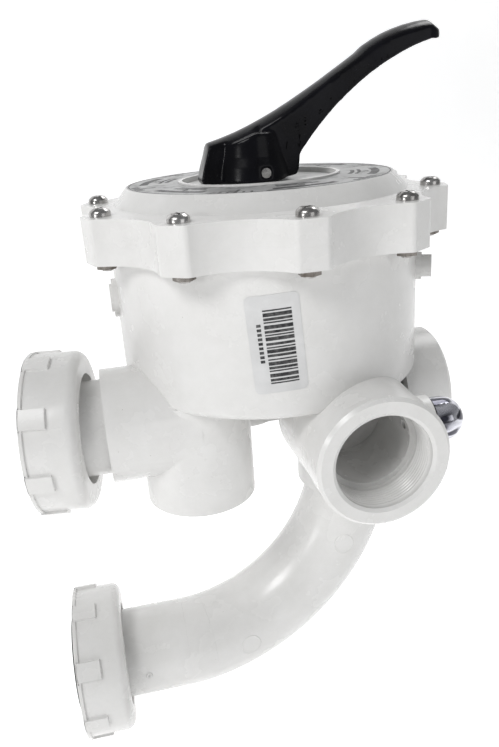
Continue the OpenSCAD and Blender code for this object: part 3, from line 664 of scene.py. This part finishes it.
def thread_sleeve(name, mouth, axis, wall, height, pitch, start, length):
    """A thin sleeve whose inside is a thread.

    mouth is the hole's open end, and axis points out of it. start is the thread's first depth.
    """
    bore = wall - 0.05 * MM
    outside = wall + 0.3 * MM
    axis = axis.normalized()
    side = axis.orthogonal().normalized()
    other = axis.cross(side)
    around, per_pitch = 96, 6
    rings = int(length / pitch * per_pitch)
    bm = bmesh.new()

    def ring(depth, radius_of):
        made = []
        for j in range(around):
            angle = TAU * j / around
            way = side * math.cos(angle) + other * math.sin(angle)
            made.append(bm.verts.new(mouth - axis * depth + way * radius_of(j / around)))
        return made

    def crest(depth, turn):
        phase = (depth / pitch - turn) % 1
        ridge = 1 - abs(2 * phase - 1)
        fade = min(1, (depth - start) / pitch, (start + length - depth) / pitch)
        return bore - height * max(0, fade) * ridge

    inner = []
    for i in range(rings + 1):
        depth = start + length * i / rings
        inner.append(ring(depth, lambda turn, d=depth: crest(d, turn)))
    outer = [ring(depth, lambda turn: outside) for depth in (start + length, start)]
    loops = inner + outer
    ring_of_faces(bm, loops + loops[:1])
    return finish_mesh(bm, name, smooth=True)


PIPE_PITCH = 2.21 * MM
PIPE_CREST = 0.9 * MM
PIPE_START = 2.2 * MM
PIPE_PLAIN = 5 * MM                        # depth of a port that has no thread
for port in ("front_port", "right_port", "back_port"):
    mouth, axis, dims = mount(port)
    length = dims["length_mm"] * MM - PIPE_PLAIN
    sleeve = thread_sleeve(port + "_thread", mouth, axis, dims["r_mm"] * MM,
                           PIPE_CREST, PIPE_PITCH, PIPE_START, length)
    piece(port + "_thread", sleeve, FINISHES["white_plastic"], "valve")

NUT_LEN = 32 * MM
NUT_WALL_R = 43.5 * MM
NUT_PITCH = 5 * MM
NUT_CREST = 1.7 * MM
NUT_START = 2.5 * MM
NUT_THREAD_LEN = 20 * MM
for side in ("upper", "lower"):
    back, axis = joint(side + "_nut_spin")
    mouth = back - axis.normalized() * NUT_LEN
    sleeve = thread_sleeve(side + "_nut_thread", mouth, -axis, NUT_WALL_R,
                           NUT_CREST, NUT_PITCH, NUT_START, NUT_THREAD_LEN)
    piece(side + "_nut_thread", sleeve, FINISHES["white_plastic"], side + "_nut")


# ---------------------------------------------------------------- camera, lights and floor

def camera():
    """The main view, from in front: a little to the left, looking down and slightly rolled."""
    place = Vector((0.0587, -0.4200, 0.1851))
    forward = Vector((0.1751, 0.9177, -0.3567)).normalized()
    right = Vector((0.9823, -0.1874, 0)).normalized()
    up = right.cross(forward)
    roll = math.radians(-4.1)
    level = right * math.cos(roll) + up * math.sin(roll)
    upright = -right * math.sin(roll) + up * math.cos(roll)
    view = Matrix((level, upright, -forward)).transposed().to_4x4()
    view.translation = place
    data = bpy.data.cameras.new("camera")
    data.lens = 33.88
    data.sensor_width = 36
    data.clip_start = 0.01
    made = bpy.data.objects.new("camera", data)
    made.matrix_world = view
    bpy.context.scene.collection.objects.link(made)
    bpy.context.scene.camera = made


def lamp(name, place, target, width, power):
    """A rectangular lamp in metres and watts, aimed at the target."""
    data = bpy.data.lights.new(name, "AREA")
    data.shape = "RECTANGLE"
    data.size = width
    data.size_y = width * 0.7
    data.energy = power
    made = bpy.data.objects.new(name, data)
    made.location = place
    made.rotation_euler = (Vector(target) - Vector(place)).to_track_quat("-Z", "Y").to_euler()
    bpy.context.scene.collection.objects.link(made)


def backdrop():
    """Pale floor that sweeps up behind the object."""
    floor_z = cad_box[0][2] - 2 * MM
    front, bend_at, bend_r, top, half_width = -3.0, 1.2, 0.9, 4.0, 5.0
    steps = 12
    profile = [(front, 0.0), (bend_at, 0.0)]
    for i in range(1, steps + 1):
        angle = math.radians(90 * i / steps)
        profile.append((bend_at + bend_r * math.sin(angle), bend_r * (1 - math.cos(angle))))
    profile.append((bend_at + bend_r, top))
    bm = bmesh.new()
    rows = [
        [bm.verts.new((x, y, floor_z + z)) for x in (-half_width, half_width)]
        for y, z in profile
    ]
    for a, b in zip(rows, rows[1:]):
        bm.faces.new((a[0], a[1], b[1], b[0]))
    made = bpy.data.objects.new("floor", finish_mesh(bm, "floor", smooth=True))
    bpy.context.scene.collection.objects.link(made)
    f = Finish("floor_paper")
    f.colour(f.mottle(3, grey(0.90), grey(0.93)))
    f.rough(8, 0.8, 0.9)
    f.bump([(300, 0.00002)])
    f.set(Emission_Color=(1, 1, 1, 1), Emission_Strength=0.5)
    made.data.materials.append(f.material)


def world():
    """A dim, slightly blue sky."""
    made = bpy.data.worlds.new("studio")
    made.use_nodes = True
    sky = made.node_tree.nodes["Background"]
    sky.inputs["Color"].default_value = (0.97, 0.985, 1.0, 1)
    sky.inputs["Strength"].default_value = 0.24
    bpy.context.scene.world = made


camera()
world()
backdrop()
FOCUS = (0.15, 0.03, 0.0)
LID_SIDE = (0.16, 0.03, 0.15)
lamp("key", (-0.8, -0.8, 1.2), FOCUS, width=0.7, power=12)
lamp("glint", (-1.0, -0.75, 0.30), LID_SIDE, width=0.22, power=2.0)
lamp("fill", (0.9, -1.3, 0.4), FOCUS, width=0.9, power=1.6)
lamp("rim", (0.9, 0.6, 1.2), FOCUS, width=0.7, power=5)
bpy.context.scene.view_settings.view_transform = "Standard"
